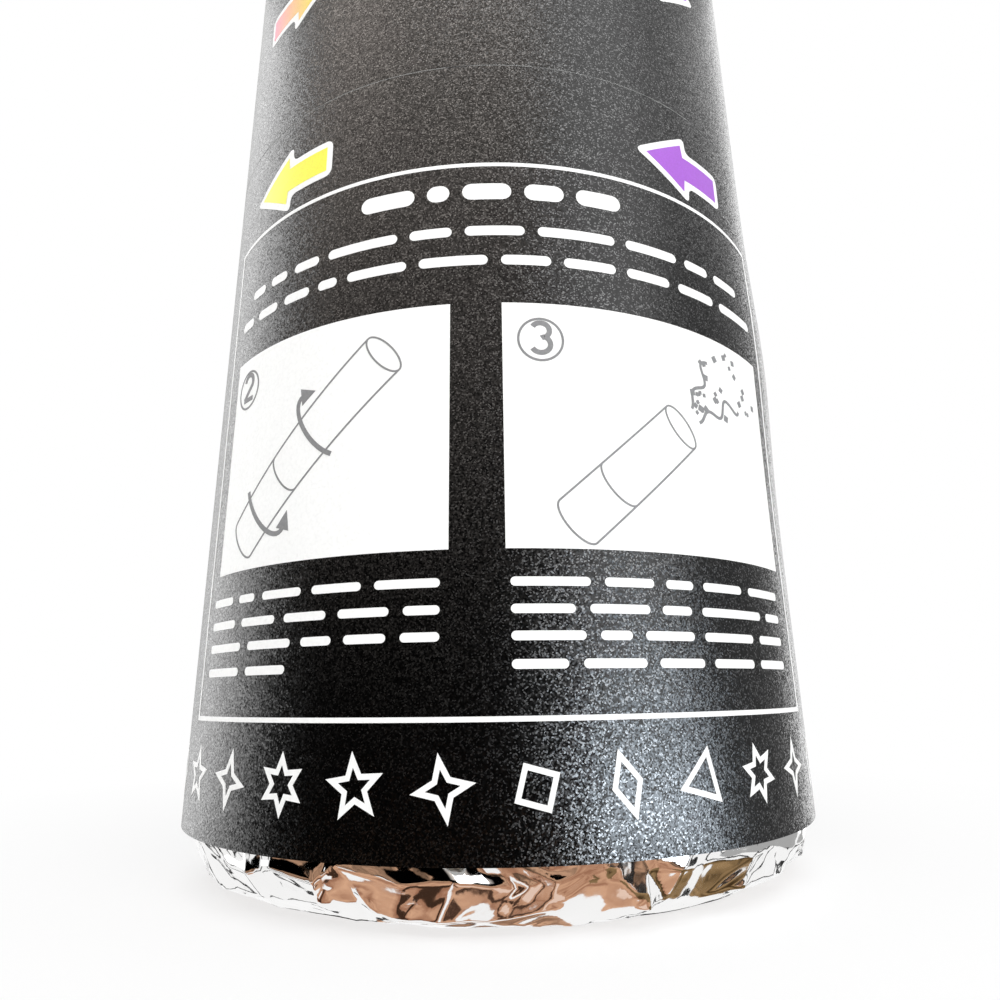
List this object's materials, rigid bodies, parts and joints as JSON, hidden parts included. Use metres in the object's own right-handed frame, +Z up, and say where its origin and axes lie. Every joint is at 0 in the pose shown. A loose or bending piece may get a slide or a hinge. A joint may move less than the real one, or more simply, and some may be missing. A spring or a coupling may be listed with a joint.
{
  "type": "confetti popper",
  "caption": "Hand-held tube that fires confetti by compressed air: a black paper-wrapped barrel that twists on a foil-ended handle, lifting a cam-driven valve stopper.",
  "frame": {"origin": "centre of the flat foil base, on the tube's axis", "axes": "+Z up the tube from the foil base to the muzzle, -Y out of the framed panel, +X to its right"},
  "size_m": [0.05, 0.05, 0.305],
  "materials": {
    "paperboard": "raw spiral-wound board",
    "printed_wrap": "satin black printed paper",
    "silver_foil": "bright crumpled foil",
    "flask_aluminium": "drawn aluminium",
    "white_moulding": "moulded",
    "packing_foam": "closed-cell foam",
    "brass_seat": "turned brass",
    "black_rubber": "moulded rubber",
    "grey_moulding": "moulded",
    "steel_pin": "ground steel",
    "wad_felt": "pressed felt",
    "tissue_yellow": "tissue",
    "tissue_orange": "tissue",
    "tissue_pink": "tissue",
    "tissue_purple": "tissue"
  },
  "bodies": {
    "handle": {"lower_tube": "paperboard", "lower_label": "printed_wrap", "base_plug": "white_moulding", "base_foil": "silver_foil", "coupler_sleeve": "paperboard", "retainer_ring": "white_moulding", "air_canister": "flask_aluminium", "canister_cradle": "packing_foam", "shoulder_ring": "paperboard", "seat_gasket": "black_rubber", "valve_seat": "brass_seat", "neck_ferrule": "flask_aluminium", "guide_cage": "white_moulding"},
    "barrel": {"upper_tube": "paperboard", "upper_label": "printed_wrap", "stop_ring": "paperboard", "cam_breech": "white_moulding"},
    "release_valve": {"valve_stopper": "grey_moulding", "stopper_o_rings": "black_rubber", "cross_pin": "steel_pin"},
    "charge": {"wad_disc": "paperboard", "wad_felt": "wad_felt", "confetti_yellow": "tissue_yellow", "confetti_orange": "tissue_orange", "confetti_pink": "tissue_pink", "confetti_purple": "tissue_purple"},
    "muzzle_closure": {"muzzle_plug": "packing_foam", "muzzle_foil": "silver_foil"}
  },
  "joints": [
    {"name": "barrel_twist", "type": "hinge", "parent": "handle", "child": "barrel", "pos_m": [0, 0, 0.0575], "axis": [0, 0, 1], "range_deg": [0, 90]},
    {"name": "stopper_lift", "type": "slide", "parent": "handle", "child": "release_valve", "axis": [0, 0, 1], "range_m": [0, 0.008]},
    {"name": "charge_slide", "type": "slide", "parent": "barrel", "child": "charge", "axis": [0, 0, 1], "range_m": [0, 0.174]},
    {"name": "muzzle_closure_slide", "type": "slide", "parent": "barrel", "child": "muzzle_closure", "axis": [0, 0, 1], "range_m": [0, 0.174]}
  ],
  "couplings": [
    {"joint": "stopper_lift", "follows": "barrel_twist", "m_per_rad": 0.00509},
    {"joint": "muzzle_closure_slide", "follows": "charge_slide", "ratio": 1}
  ]
}
